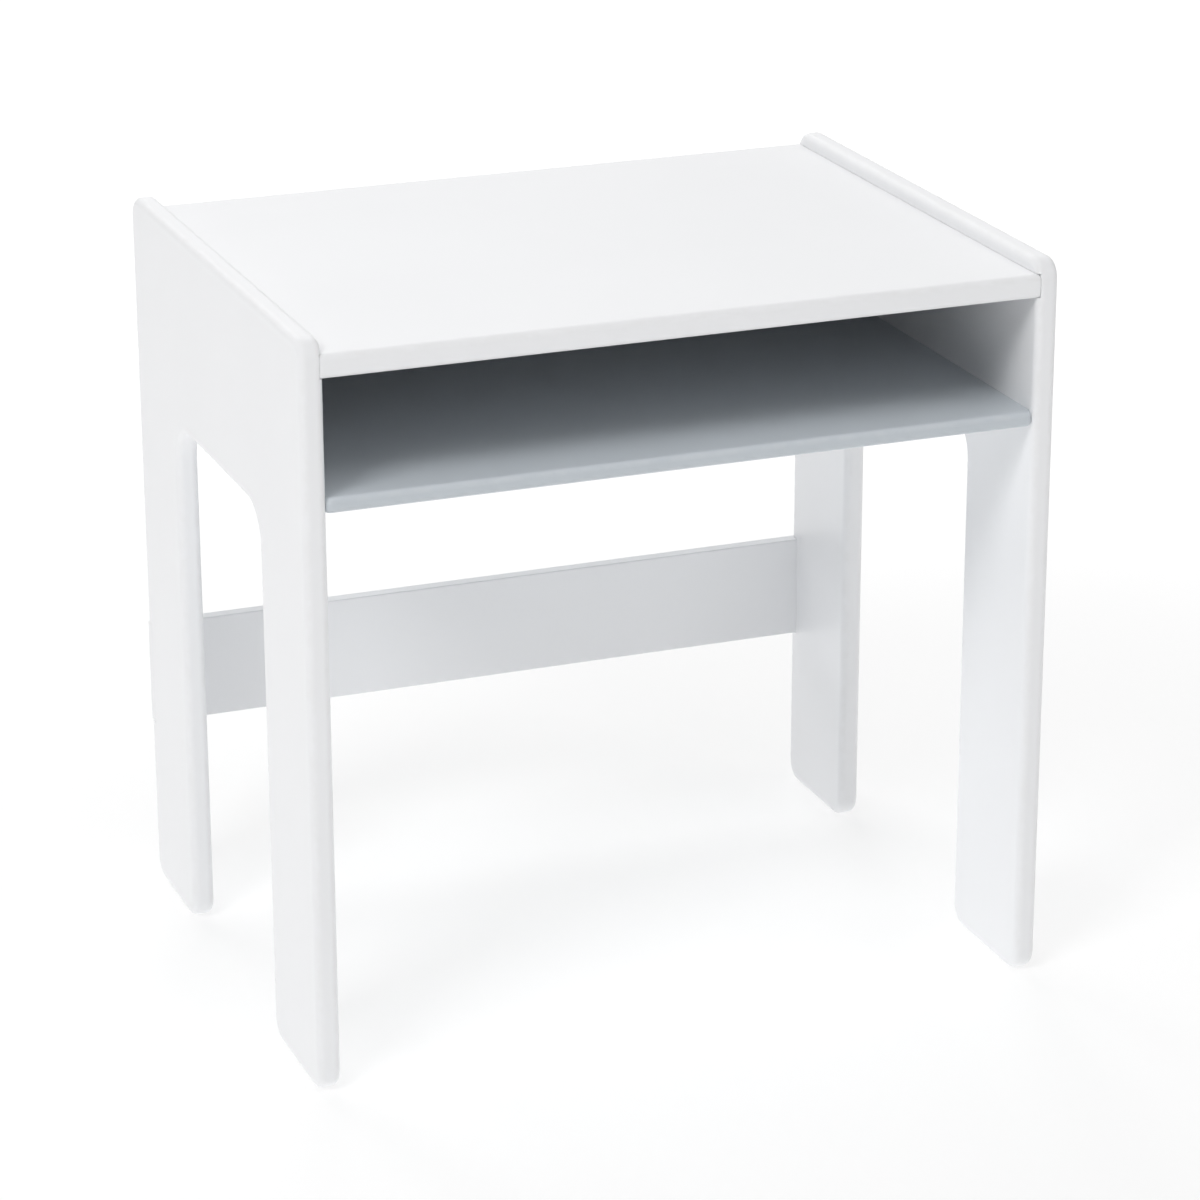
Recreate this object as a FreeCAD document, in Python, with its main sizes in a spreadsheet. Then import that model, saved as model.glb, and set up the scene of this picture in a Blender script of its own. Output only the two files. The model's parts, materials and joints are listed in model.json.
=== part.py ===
import FreeCAD, Part
import Sketcher
import math
import os

# Child's desk. Two arched side panels carry a worktop, an open shelf with a back panel, and a
# stretcher low between the rear legs. The worktop's ends lie in dados across the panels, and the
# top of each panel stands above the worktop as a lip.
# Frame: X to the right, Y from the front to the rear, Z up from the floor. The origin is the
# middle of the footprint on the floor. Every body is drawn from the front of the desk, so its
# placement moves it forward by half the depth.

SIZES = {
    # Whole desk
    "overall_width": 600.0,
    "overall_depth": 450.0,
    "overall_height": 590.0,
    # Boards
    "thick_board": 18.0,
    "thin_board": 12.0,
    # Side panels
    "front_leg_depth": 115.0,
    "rear_leg_depth": 111.0,
    "arch_below_shelf": 30.0,
    "arch_corner_radius": 30.0,
    "top_corner_radius": 16.0,
    "foot_corner_radius": 18.0,
    "panel_edge_radius": 6.0,
    # Worktop
    "lip_height": 11.0,
    "worktop_setback": 1.0,
    "worktop_top_radius": 5.0,
    "worktop_under_radius": 3.0,
    "worktop_end_easing": 1.2,
    "dado_depth": 3.0,
    "dado_clearance": 0.3,
    # Shelf
    "compartment_height": 90.0,
    "shelf_setback": 2.0,
    "shelf_top_radius": 4.5,
    "shelf_under_radius": 4.0,
    "shelf_corner_radius": 6.5,
    "shelf_corner_inset": 5.0,
    # Stretcher, let into the rear edges of the panels
    "stretcher_floor_gap": 140.0,
    "stretcher_breadth": 87.0,
    "stretcher_easing": 1.2,
    "notch_clearance": 0.2,
    # Small rounding of the back panel's rear edges
    "back_easing": 0.8,
    # Places of the fixings
    "cam_inset": 55.0,
    "dowel_pitch": 32.0,
    "screw_pitch": 44.0,
    # Fit of the fixings in their bores
    "bore_clearance": 0.15,
    "bore_relief": 0.5,
    "cam_play": 0.3,
    "overrun": 2.0,
    # Dowels and cam fittings of the thick boards
    "thick_dowel_diameter": 8.0,
    "thick_dowel_length": 30.0,
    "thick_cam_diameter": 15.0,
    "thick_cam_depth": 12.5,
    "thick_cam_wall": 2.0,
    "thick_cam_distance": 24.0,
    "thick_head_diameter": 6.8,
    "thick_head_length": 3.4,
    "thick_neck_diameter": 3.6,
    "thick_shank_diameter": 5.0,
    # Dowels and cam fittings of the thin boards
    "thin_dowel_diameter": 6.0,
    "thin_dowel_length": 26.0,
    "thin_cam_diameter": 12.0,
    "thin_cam_depth": 9.6,
    "thin_cam_wall": 1.6,
    "thin_cam_distance": 20.0,
    "thin_head_diameter": 5.4,
    "thin_head_length": 2.8,
    "thin_neck_diameter": 3.0,
    "thin_shank_diameter": 4.4,
    # Seats in the side panels
    "dowel_seat": 11.0,
    "thread_diameter": 6.0,
    "thread_length": 10.5,
    # Cross recess in the face of each cam
    "recess_span": 6.4,
    "recess_breadth": 1.4,
    "recess_depth": 1.6,
    # Countersunk screws of the stretcher
    "screw_length": 40.0,
    "screw_diameter": 4.0,
    "screw_head_diameter": 8.0,
    "screw_head_length": 2.4,
    "screw_point_length": 5.0,
    "screw_sink": 0.3,
    "screw_recess_span": 4.4,
    "screw_recess_breadth": 1.1,
    "screw_recess_depth": 1.4,
}

SHEET_NAME = "Sizes"
# Two places count as one when they differ by less than this share of the desk's width.
SAME_PLACE_SHARE = 1e-6
# Degrees
QUARTER_TURN = 90.0


class Size:
    """A length with the formula that ties it to the sheet, so one sum both draws and binds."""

    def __init__(self, formula, value):
        self.formula = formula
        self.value = value

    def __add__(self, other):
        return Size(f"({self.formula} + {other.formula})", self.value + other.value)

    def __sub__(self, other):
        return Size(f"({self.formula} - {other.formula})", self.value - other.value)

    def __mul__(self, factor):
        return Size(f"({self.formula} * {factor})", self.value * factor)

    def __truediv__(self, divisor):
        return Size(f"({self.formula} / {divisor})", self.value / divisor)

    def __neg__(self):
        return Size(f"(-{self.formula})", -self.value)


ZERO = Size("0", 0.0)


def half_chord(radius, height):
    """Half the chord of a circle at a height above its centre."""
    formula = f"sqrt({radius.formula} ^ 2 - {height.formula} ^ 2)"
    return Size(formula, math.sqrt(radius.value**2 - height.value**2))


def size(name):
    return Size(f"{SHEET_NAME}.{name}", SIZES[name])


def write_sheet(document):
    """Writes the driving sizes, one row each, with the name as the alias of the value."""
    sheet = document.addObject("Spreadsheet::Sheet", SHEET_NAME)
    for row, (name, value) in enumerate(SIZES.items(), start=1):
        sheet.set(f"A{row}", name)
        sheet.set(f"B{row}", str(value))
        sheet.setAlias(f"B{row}", name)
    document.recompute()


# Sketches and features


def new_body(document, label):
    """A body drawn from the front of the desk and set over the origin."""
    body = document.addObject("PartDesign::Body", label)
    body.Label = label
    body.setExpression("Placement.Base.y", (-(size("overall_depth") / 2)).formula)
    return body


def origin_feature(body, role):
    return next(item for item in body.Origin.OriginFeatures if item.Role == role)


def new_sketch(body, role, x=ZERO, y=ZERO, z=ZERO):
    """A sketch on one of the body's origin planes, moved in the plane by x, y and off it by z."""
    sketch = body.newObject("Sketcher::SketchObject", f"{body.Label}_sketch")
    sketch.AttachmentSupport = [(origin_feature(body, role), "")]
    sketch.MapMode = "FlatFace"
    for axis, offset in (("x", x), ("y", y), ("z", z)):
        sketch.setExpression(f"AttachmentOffset.Base.{axis}", offset.formula)
    return sketch


def tie(sketch, kind, *where, to):
    """Adds a dimension to the sketch and binds it to a size."""
    index = sketch.addConstraint(Sketcher.Constraint(kind, *where, to.value))
    sketch.setExpression(f"Constraints[{index}]", to.formula)


def place_point(sketch, geometry, position, x, y):
    """Ties one point of the sketch to its distances from the sketch's origin."""
    for kind, axis, distance in (("DistanceX", -2, x), ("DistanceY", -1, y)):
        if distance.formula == ZERO.formula:
            sketch.addConstraint(Sketcher.Constraint("PointOnObject", geometry, position, axis))
        elif distance.value < 0:
            tie(sketch, kind, geometry, position, -1, 1, to=-distance)
        else:
            tie(sketch, kind, -1, 1, geometry, position, to=distance)


def vector(x, y):
    return FreeCAD.Vector(x.value, y.value, 0)


def arc_between(start, end, centre):
    """An arc about a centre, anticlockwise from its start to its end."""
    middle = vector(*centre)
    spokes = [vector(*point) - middle for point in (start, end)]
    circle = Part.Circle(middle, FreeCAD.Vector(0, 0, 1), spokes[0].Length)
    return Part.ArcOfCircle(circle, *(math.atan2(spoke.y, spoke.x) for spoke in spokes))


def draw_outline(sketch, corners, arcs=None):
    """Draws a closed outline with each corner tied to its place.

    Its sides are straight, apart from those numbered in arcs, each with its centre and radius."""
    count = len(corners)
    arcs = arcs or {}
    for index, corner in enumerate(corners):
        following = corners[(index + 1) % count]
        if index in arcs:
            centre, _ = arcs[index]
            sketch.addGeometry(arc_between(corner, following, centre), False)
        else:
            sketch.addGeometry(Part.LineSegment(vector(*corner), vector(*following)), False)
    for index, corner in enumerate(corners):
        joint = Sketcher.Constraint("Coincident", (index - 1) % count, 2, index, 1)
        sketch.addConstraint(joint)
        place_point(sketch, index, 1, *corner)
    for index, (_, radius) in arcs.items():
        tie(sketch, "Radius", index, to=radius)


def draw_rectangle(sketch, left, low, right, high):
    draw_outline(sketch, [(left, low), (right, low), (right, high), (left, high)])


def draw_circles(sketch, diameter, centres):
    for x, y in centres:
        circle = Part.Circle(vector(x, y), FreeCAD.Vector(0, 0, 1), diameter.value / 2)
        index = sketch.addGeometry(circle, False)
        tie(sketch, "Diameter", index, to=diameter)
        place_point(sketch, index, 3, x, y)


def finish_feature(body, feature):
    """Makes the feature the body's last one and brings its shape up to date."""
    body.Tip = feature
    body.Document.recompute()
    return feature


def pad(body, sketch, length, symmetric=False):
    feature = body.newObject("PartDesign::Pad", f"{body.Label}_pad")
    feature.Profile = sketch
    feature.SideType = "Symmetric" if symmetric else "One side"
    feature.setExpression("Length", length.formula)
    return finish_feature(body, feature)


def cut(body, sketch, depth, along_normal=False, symmetric=False):
    """Cuts the sketch into the body and makes sure that material has gone."""
    before = body.Shape.Volume
    feature = body.newObject("PartDesign::Pocket", f"{body.Label}_cut")
    feature.Profile = sketch
    feature.SideType = "Symmetric" if symmetric else "One side"
    feature.Reversed = along_normal
    feature.setExpression("Length", depth.formula)
    finish_feature(body, feature)
    if body.Shape.Volume >= before:
        raise RuntimeError(f"a cut in {body.Label} removes nothing")
    return feature


def turn(body, kind, sketch):
    """Revolves or grooves the sketch about its own horizontal axis."""
    feature = body.newObject(f"PartDesign::{kind}", f"{body.Label}_{kind.lower()}")
    feature.Profile = sketch
    feature.ReferenceAxis = (sketch, ["H_Axis"])
    return finish_feature(body, feature)


def round_edges(body, radius, wanted):
    """Rounds the edges of the body that the test picks out."""
    base = body.Tip
    names = [f"Edge{number}" for number, edge in enumerate(base.Shape.Edges, 1) if wanted(edge)]
    if not names:
        raise RuntimeError(f"no edge of {body.Label} is picked for rounding")
    feature = body.newObject("PartDesign::Fillet", f"{body.Label}_rounding")
    feature.Base = (base, names)
    feature.setExpression("Radius", radius.formula)
    return finish_feature(body, feature)


def mirror(body, originals=None):
    """Repeats features, or the whole shape, on the other side of the desk's middle."""
    feature = body.newObject("PartDesign::Mirrored", f"{body.Label}_mirrored")
    if originals is None:
        feature.TransformMode = "Whole shape"
    else:
        feature.Originals = originals
    feature.MirrorPlane = (origin_feature(body, "YZ_Plane"), [""])
    return finish_feature(body, feature)


def repeat(body, role, spacing):
    """Repeats the whole shape once along one of the body's axes."""
    body.AllowCompound = True
    feature = body.newObject("PartDesign::LinearPattern", f"{body.Label}_row")
    feature.TransformMode = "Whole shape"
    feature.Direction = (origin_feature(body, role), [""])
    feature.Occurrences = 2
    feature.setExpression("Length", spacing.formula)
    return finish_feature(body, feature)


# Places that several pieces share, measured from the front of the desk, its middle and the floor


def same(first, second):
    return abs(first - second) < SAME_PLACE_SHARE * SIZES["overall_width"]


def panel_inner_x():
    return size("overall_width") / 2 - size("thick_board")


def worktop_end_x():
    return panel_inner_x() + size("dado_depth")


def worktop_top_z():
    return size("overall_height") - size("lip_height")


def worktop_underside_z():
    return worktop_top_z() - size("thick_board")


def worktop_middle_z():
    return worktop_top_z() - size("thick_board") / 2


def worktop_rear_y():
    return size("overall_depth") - size("worktop_setback")


def shelf_top_z():
    return worktop_underside_z() - size("compartment_height")


def shelf_underside_z():
    return shelf_top_z() - size("thin_board")


def shelf_middle_z():
    return shelf_top_z() - size("thin_board") / 2


def arch_top_z():
    return shelf_underside_z() - size("arch_below_shelf")


def back_rear_y():
    return size("overall_depth") - size("panel_edge_radius")


def back_front_y():
    return back_rear_y() - size("thin_board")


def back_middle_y():
    return back_rear_y() - size("thin_board") / 2


def back_middle_z():
    return (shelf_underside_z() + worktop_underside_z()) / 2


def stretcher_front_y():
    return size("overall_depth") - size("thin_board")


def stretcher_top_z():
    return size("stretcher_floor_gap") + size("stretcher_breadth")


def screw_heights():
    middle = size("stretcher_floor_gap") + size("stretcher_breadth") / 2
    return [middle - size("screw_pitch") / 2, middle + size("screw_pitch") / 2]


def screw_x():
    return size("overall_width") / 2 - size("thick_board") / 2


def worktop_cam_ys():
    return [size("cam_inset"), size("overall_depth") - size("cam_inset")]


def shelf_cam_ys():
    return [size("cam_inset"), back_front_y() - size("cam_inset")]


def dowel_ys(cam_ys):
    """Each dowel stands one pitch further in than the cam fitting beside it."""
    front, rear = cam_ys
    return [front + size("dowel_pitch"), rear - size("dowel_pitch")]


def back_dowel_heights():
    return [back_middle_z() - size("dowel_pitch"), back_middle_z() + size("dowel_pitch")]


def bore_diameter(diameter):
    return diameter + size("bore_clearance") * 2


class Fixing:
    """One kind of dowel and cam fitting, for thick or thin boards.

    Its places across the desk are measured from the joint, where the board's end meets the panel."""

    def __init__(self, stock, joint_x):
        self.joint_x = joint_x
        self.board = size(f"{stock}_board")
        self.dowel_diameter = size(f"{stock}_dowel_diameter")
        self.dowel_length = size(f"{stock}_dowel_length")
        self.cam_diameter = size(f"{stock}_cam_diameter")
        self.cam_depth = size(f"{stock}_cam_depth")
        self.cam_wall = size(f"{stock}_cam_wall")
        self.cam_distance = size(f"{stock}_cam_distance")
        self.head_diameter = size(f"{stock}_head_diameter")
        self.head_length = size(f"{stock}_head_length")
        self.neck_diameter = size(f"{stock}_neck_diameter")
        self.shank_diameter = size(f"{stock}_shank_diameter")

    def cam_x(self):
        return self.joint_x - self.cam_distance

    def cavity_diameter(self):
        return self.cam_diameter - self.cam_wall * 2

    def cavity_depth(self):
        """From the inner end of the cam to just past the far side of the bolt's head."""
        head_low = self.board / 2 - self.head_diameter / 2 - size("cam_play")
        return self.cam_depth - head_low

    def shoulder_reach(self):
        """How far the bolt's head stands from the joint, held behind the wall of the cam."""
        chord = half_chord(self.cavity_diameter() / 2, self.head_diameter / 2)
        return self.cam_distance - chord + size("cam_play")

    def shank_reach(self):
        return self.cam_distance - self.cam_diameter / 2 - size("cam_play")


def thick_fixing():
    """For the worktop, whose ends lie on the floors of the dados."""
    return Fixing("thick", worktop_end_x())


def thin_fixing():
    """For the boards that butt against the inner faces of the panels."""
    return Fixing("thin", panel_inner_x())


# Boards


def make_side_panel(document):
    """The right side panel: an arch with rounded corners and a rounding run round both faces."""
    depth = size("overall_depth")
    height = size("overall_height")
    board = size("thick_board")
    rear_leg_y = depth - size("rear_leg_depth")
    body = new_body(document, "right_side_panel")

    outline = new_sketch(body, "YZ_Plane", z=panel_inner_x())
    draw_outline(
        outline,
        [
            (ZERO, ZERO),
            (size("front_leg_depth"), ZERO),
            (size("front_leg_depth"), arch_top_z()),
            (rear_leg_y, arch_top_z()),
            (rear_leg_y, ZERO),
            (depth, ZERO),
            (depth, height),
            (ZERO, height),
        ],
    )
    pad(body, outline, board)

    def corners_at(z):
        """Picks the edges through the panel at one height."""

        def wanted(edge):
            start, end = (vertex.Point for vertex in edge.Vertexes)
            crosswise = same(start.y, end.y) and same(start.z, end.z)
            return crosswise and same(start.z, z.value)

        return wanted

    round_edges(body, size("foot_corner_radius"), corners_at(ZERO))
    round_edges(body, size("arch_corner_radius"), corners_at(arch_top_z()))
    round_edges(body, size("top_corner_radius"), corners_at(height))

    faces_x = (panel_inner_x().value, size("overall_width").value / 2)

    def along_a_face(edge):
        xs = [vertex.X for vertex in edge.Vertexes] + [edge.CenterOfMass.x]
        return any(all(same(x, face_x) for x in xs) for face_x in faces_x)

    round_edges(body, size("panel_edge_radius"), along_a_face)

    notch = new_sketch(body, "YZ_Plane", z=panel_inner_x() + board / 2)
    draw_rectangle(
        notch,
        stretcher_front_y(),
        size("stretcher_floor_gap") - size("notch_clearance"),
        depth + size("overrun"),
        stretcher_top_z() + size("notch_clearance"),
    )
    cut(body, notch, board + size("overrun"), symmetric=True)

    cut_dado(body)
    bore_panel_joints(body)
    bore_panel_pilots(body)
    return body


def cut_dado(body):
    """A shallow housing from front to rear that takes the end of the worktop."""
    over = size("overrun")
    dado = new_sketch(body, "XZ_Plane", z=over)
    draw_rectangle(
        dado,
        panel_inner_x() - over,
        worktop_underside_z(),
        worktop_end_x(),
        worktop_top_z() + size("dado_clearance"),
    )
    cut(body, dado, size("overall_depth") + over * 2)


def bore_panel_joints(body):
    """Blind bores for the dowels and cam bolts of the three boards."""
    thick = thick_fixing()
    thin = thin_fixing()
    seat = size("dowel_seat")
    thread = size("thread_diameter")
    thread_seat = size("thread_length")
    worktop_z = worktop_middle_z()
    shelf_z = shelf_middle_z()

    thin_dowels = [(y, shelf_z) for y in dowel_ys(shelf_cam_ys())]
    thin_dowels += [(back_middle_y(), z) for z in back_dowel_heights()]
    thin_bolts = [(y, shelf_z) for y in shelf_cam_ys()]
    thin_bolts += [(back_middle_y(), back_middle_z())]
    thick_dowels = [(y, worktop_z) for y in dowel_ys(worktop_cam_ys())]
    thick_bolts = [(y, worktop_z) for y in worktop_cam_ys()]

    for fixing, diameter, depth, centres in (
        (thick, thick.dowel_diameter, seat, thick_dowels),
        (thick, thread, thread_seat, thick_bolts),
        (thin, thin.dowel_diameter, seat, thin_dowels),
        (thin, thread, thread_seat, thin_bolts),
    ):
        bores = new_sketch(body, "YZ_Plane", z=fixing.joint_x)
        draw_circles(bores, bore_diameter(diameter), centres)
        cut(body, bores, depth + size("bore_relief"), along_normal=True)


def bore_panel_pilots(body):
    """Pilot bores for the stretcher's screws, from the floor of the notch into the rear leg."""
    pilots = new_sketch(body, "XZ_Plane", z=-stretcher_front_y())
    centres = [(screw_x(), z) for z in screw_heights()]
    draw_circles(pilots, bore_diameter(size("screw_diameter")), centres)
    depth = size("screw_length") + size("screw_sink") - size("thin_board") + size("bore_relief")
    cut(body, pilots, depth, along_normal=True)


def mirror_side_panel(document, panel):
    """The left side panel is the right one's mirror image."""
    mirrored = document.addObject("Part::Mirroring", "left_side_panel")
    mirrored.Label = "left_side_panel"
    mirrored.Source = panel
    mirrored.Base = FreeCAD.Vector(0, 0, 0)
    mirrored.Normal = FreeCAD.Vector(1, 0, 0)
    document.recompute()
    return mirrored


def lengthwise(edge):
    """True for an edge that runs from side to side of the desk."""
    start, end = (vertex.Point for vertex in edge.Vertexes)
    return same(start.y, end.y) and same(start.z, end.z)


def pad_board(body, fixing, front_y, rear_y, underside_z, top_z):
    """A board from joint to joint, drawn as its section from front to rear."""
    section = new_sketch(body, "YZ_Plane")
    draw_rectangle(section, front_y, underside_z, rear_y, top_z)
    pad(body, section, fixing.joint_x * 2, symmetric=True)


def round_long_edges(body, radius, y, z):
    round_edges(
        body,
        radius,
        lambda edge: lengthwise(edge)
        and same(edge.CenterOfMass.y, y.value)
        and same(edge.CenterOfMass.z, z.value),
    )


def carry_rounding_round_corners(body, turn_radius, centre_inset, front_y, underside_z):
    """Carries the rounding of the front edge round both front corners, as a router would.

    The cutter turns through a quarter about a place near the corner. The rounding fades out in the
    end of the board, which keeps its full height against the panel."""
    top = size("shelf_top_radius")
    under = size("shelf_under_radius")
    board = size("thin_board")
    over = size("overrun")
    cutter = new_sketch(
        body,
        "XZ_Plane",
        x=panel_inner_x() - centre_inset,
        y=underside_z,
        z=-(front_y + turn_radius),
    )
    draw_outline(
        cutter,
        [
            (turn_radius - under, ZERO),
            (turn_radius, under),
            (turn_radius, board - top),
            (turn_radius - top, board),
            (turn_radius - top, board + over),
            (turn_radius * 2, board + over),
            (turn_radius * 2, -over),
            (turn_radius - under, -over),
        ],
        arcs={
            0: ((turn_radius - under, under), under),
            2: ((turn_radius - top, board - top), top),
        },
    )
    corner = body.newObject("PartDesign::Groove", f"{body.Label}_corner")
    corner.Profile = cutter
    corner.ReferenceAxis = (cutter, ["V_Axis"])
    corner.Angle = QUARTER_TURN
    corner.Reversed = True
    mirror(body, [finish_feature(body, corner)])


def bore_board_ends(body, fixing, cams, dowels):
    """Bores in both ends of a board: to the cams for the bolts, and for the dowels."""
    dowel_depth = fixing.dowel_length - size("dowel_seat") + size("bore_relief")
    originals = []
    for diameter, depth, centres in (
        (fixing.head_diameter, fixing.cam_distance, cams),
        (fixing.dowel_diameter, dowel_depth, dowels),
    ):
        bores = new_sketch(body, "YZ_Plane", z=fixing.joint_x)
        draw_circles(bores, bore_diameter(diameter), centres)
        originals.append(cut(body, bores, depth))
    mirror(body, originals)


def bore_cam_seats(body, fixing, underside_z, cam_ys):
    """Bores in the underside that take the cams."""
    seats = new_sketch(body, "XY_Plane", z=underside_z)
    centres = [(fixing.cam_x(), y) for y in cam_ys]
    draw_circles(seats, bore_diameter(fixing.cam_diameter), centres)
    depth = fixing.cam_depth + size("bore_relief")
    mirror(body, [cut(body, seats, depth, along_normal=True)])


def make_worktop(document):
    fixing = thick_fixing()
    top_z = worktop_top_z()
    underside_z = worktop_underside_z()
    middle_z = worktop_middle_z()
    cam_ys = worktop_cam_ys()
    body = new_body(document, "worktop")
    pad_board(body, fixing, size("worktop_setback"), worktop_rear_y(), underside_z, top_z)
    for y in (size("worktop_setback"), worktop_rear_y()):
        round_long_edges(body, size("worktop_top_radius"), y, top_z)
        round_long_edges(body, size("worktop_under_radius"), y, underside_z)
    end_x = worktop_end_x().value
    round_edges(
        body,
        size("worktop_end_easing"),
        lambda edge: all(same(abs(vertex.X), end_x) for vertex in edge.Vertexes)
        and same(abs(edge.CenterOfMass.x), end_x),
    )
    cams = [(y, middle_z) for y in cam_ys]
    dowels = [(y, middle_z) for y in dowel_ys(cam_ys)]
    bore_board_ends(body, fixing, cams, dowels)
    bore_cam_seats(body, fixing, underside_z, cam_ys)
    return body


def make_shelf(document):
    fixing = thin_fixing()
    front_y = size("shelf_setback")
    top_z = shelf_top_z()
    underside_z = shelf_underside_z()
    middle_z = shelf_middle_z()
    cam_ys = shelf_cam_ys()
    body = new_body(document, "shelf")
    pad_board(body, fixing, front_y, back_front_y(), underside_z, top_z)
    round_long_edges(body, size("shelf_top_radius"), front_y, top_z)
    round_long_edges(body, size("shelf_under_radius"), front_y, underside_z)
    carry_rounding_round_corners(
        body, size("shelf_corner_radius"), size("shelf_corner_inset"), front_y, underside_z
    )
    cams = [(y, middle_z) for y in cam_ys]
    dowels = [(y, middle_z) for y in dowel_ys(cam_ys)]
    bore_board_ends(body, fixing, cams, dowels)
    bore_cam_seats(body, fixing, underside_z, cam_ys)
    return body


def make_back_panel(document):
    """Closes the rear of the shelf, between the worktop and the underside of the shelf."""
    fixing = thin_fixing()
    body = new_body(document, "back_panel")
    pad_board(
        body, fixing, back_front_y(), back_rear_y(), shelf_underside_z(), worktop_underside_z()
    )
    rear_y = back_rear_y().value
    round_edges(
        body,
        size("back_easing"),
        lambda edge: all(same(vertex.Y, rear_y) for vertex in edge.Vertexes),
    )
    dowels = [(back_middle_y(), z) for z in back_dowel_heights()]
    bore_board_ends(body, fixing, [(back_middle_y(), back_middle_z())], dowels)
    seats = new_sketch(body, "XZ_Plane", z=-back_rear_y())
    centres = [(fixing.cam_x(), back_middle_z())]
    draw_circles(seats, bore_diameter(fixing.cam_diameter), centres)
    mirror(body, [cut(body, seats, fixing.cam_depth + size("bore_relief"), along_normal=True)])
    return body


def make_stretcher(document):
    """A full-width board whose ends lie in the notches of both side panels."""
    body = new_body(document, "leg_stretcher")
    section = new_sketch(body, "YZ_Plane")
    draw_rectangle(
        section,
        stretcher_front_y(),
        size("stretcher_floor_gap"),
        size("overall_depth"),
        stretcher_top_z(),
    )
    pad(body, section, size("overall_width"), symmetric=True)
    round_edges(body, size("stretcher_easing"), lambda edge: True)
    originals = []
    for z in screw_heights():
        hole = screw_sketch(body, z, size("bore_clearance"))
        originals.append(turn(body, "Groove", hole))
    mirror(body, originals)
    return body


# Fixings


def screw_sketch(body, z, gap):
    """Half the section of a countersunk screw, or with a gap of the hole that takes it.

    The sketch's horizontal axis runs forward from the rear face along the screw."""
    sketch = new_sketch(body, "YZ_Plane", x=size("overall_depth"), y=z, z=screw_x())
    shank = size("screw_diameter") / 2 + gap
    head = size("screw_head_diameter") / 2 + gap
    face = -size("screw_sink")
    cone_end = face - size("screw_head_length")
    if gap.formula == ZERO.formula:
        tip = face - size("screw_length")
        point = tip + size("screw_point_length")
        corners = [(tip, ZERO), (face, ZERO), (face, head), (cone_end, shank), (point, shank)]
    else:
        mouth = size("overrun")
        far = -size("thin_board") - size("overrun")
        corners = [
            (far, ZERO),
            (mouth, ZERO),
            (mouth, head),
            (face, head),
            (cone_end, shank),
            (far, shank),
        ]
    draw_outline(sketch, corners)
    return sketch


def cut_cross(body, role, x, y, z, span, breadth, depth):
    """A cross recess of two equal slots, sunk along the plane's normal."""
    for wide, tall in ((span, breadth), (breadth, span)):
        slot = new_sketch(body, role, x=x, y=y, z=z)
        draw_rectangle(slot, -(wide / 2), -(tall / 2), wide / 2, tall / 2)
        cut(body, slot, depth, along_normal=True)


def make_screws(document):
    body = new_body(document, "stretcher_screws")
    low, high = screw_heights()
    turn(body, "Revolution", screw_sketch(body, low, ZERO))
    cut_cross(
        body,
        "XZ_Plane",
        screw_x(),
        low,
        size("screw_sink") - size("overall_depth"),
        size("screw_recess_span"),
        size("screw_recess_breadth"),
        size("screw_recess_depth"),
    )
    repeat(body, "Z_Axis", high - low)
    mirror(body)
    return body


def make_dowels(document, label, fixing, places, role):
    """Two dowels on the right and their mirror images, each half in a panel and half in a board."""
    (y, z), (last_y, last_z) = places
    body = new_body(document, label)
    start = fixing.joint_x + size("dowel_seat") - fixing.dowel_length
    half = new_sketch(body, "XY_Plane", x=start, y=y, z=z)
    draw_rectangle(half, ZERO, ZERO, fixing.dowel_length, fixing.dowel_diameter / 2)
    turn(body, "Revolution", half)
    repeat(body, role, last_y - y if role == "Y_Axis" else last_z - z)
    mirror(body)
    return body


def make_cam_bolts(document, label, fixing, y, z, spacing):
    """Turned bolts: a thread in the panel, a shank in the board and a head inside the cam."""
    body = new_body(document, label)
    half = new_sketch(body, "XY_Plane", x=fixing.joint_x, y=y, z=z)
    thread = size("thread_diameter") / 2
    shank = fixing.shank_diameter / 2
    neck = fixing.neck_diameter / 2
    head = fixing.head_diameter / 2
    shoulder = fixing.shoulder_reach()
    head_end = shoulder + fixing.head_length
    draw_outline(
        half,
        [
            (-head_end, ZERO),
            (size("thread_length"), ZERO),
            (size("thread_length"), thread),
            (ZERO, thread),
            (ZERO, shank),
            (-fixing.shank_reach(), shank),
            (-fixing.shank_reach(), neck),
            (-shoulder, neck),
            (-shoulder, head),
            (-head_end, head),
        ],
    )
    turn(body, "Revolution", half)
    if spacing is not None:
        repeat(body, "Y_Axis", spacing)
    body.AllowCompound = True
    mirror(body)
    return body


def cam_solid(body, fixing, role, y, face):
    """A cam: a cup open at its inner end, slotted for the bolt's neck, with a cross in its face.

    The cam goes into its board along the normal of the plane it is drawn on."""
    x = fixing.cam_x()
    disc = new_sketch(body, role, x=x, y=y, z=face)
    draw_circles(disc, fixing.cam_diameter, [(ZERO, ZERO)])
    pad(body, disc, fixing.cam_depth)
    inner = face + fixing.cam_depth
    cavity = new_sketch(body, role, x=x, y=y, z=inner)
    draw_circles(cavity, fixing.cavity_diameter(), [(ZERO, ZERO)])
    cut(body, cavity, fixing.cavity_depth())
    slot = new_sketch(body, role, x=x, y=y, z=inner)
    half_slot = fixing.neck_diameter / 2 + size("cam_play")
    draw_rectangle(slot, ZERO, -half_slot, fixing.cam_diameter / 2 + size("overrun"), half_slot)
    cut(body, slot, fixing.cavity_depth())
    cut_cross(
        body,
        role,
        x,
        y,
        face,
        size("recess_span"),
        size("recess_breadth"),
        size("recess_depth"),
    )


def make_underside_cams(document, label, fixing, underside_z, cam_ys):
    front, rear = cam_ys
    body = new_body(document, label)
    cam_solid(body, fixing, "XY_Plane", front, underside_z)
    repeat(body, "Y_Axis", rear - front)
    mirror(body)
    return body


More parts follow.
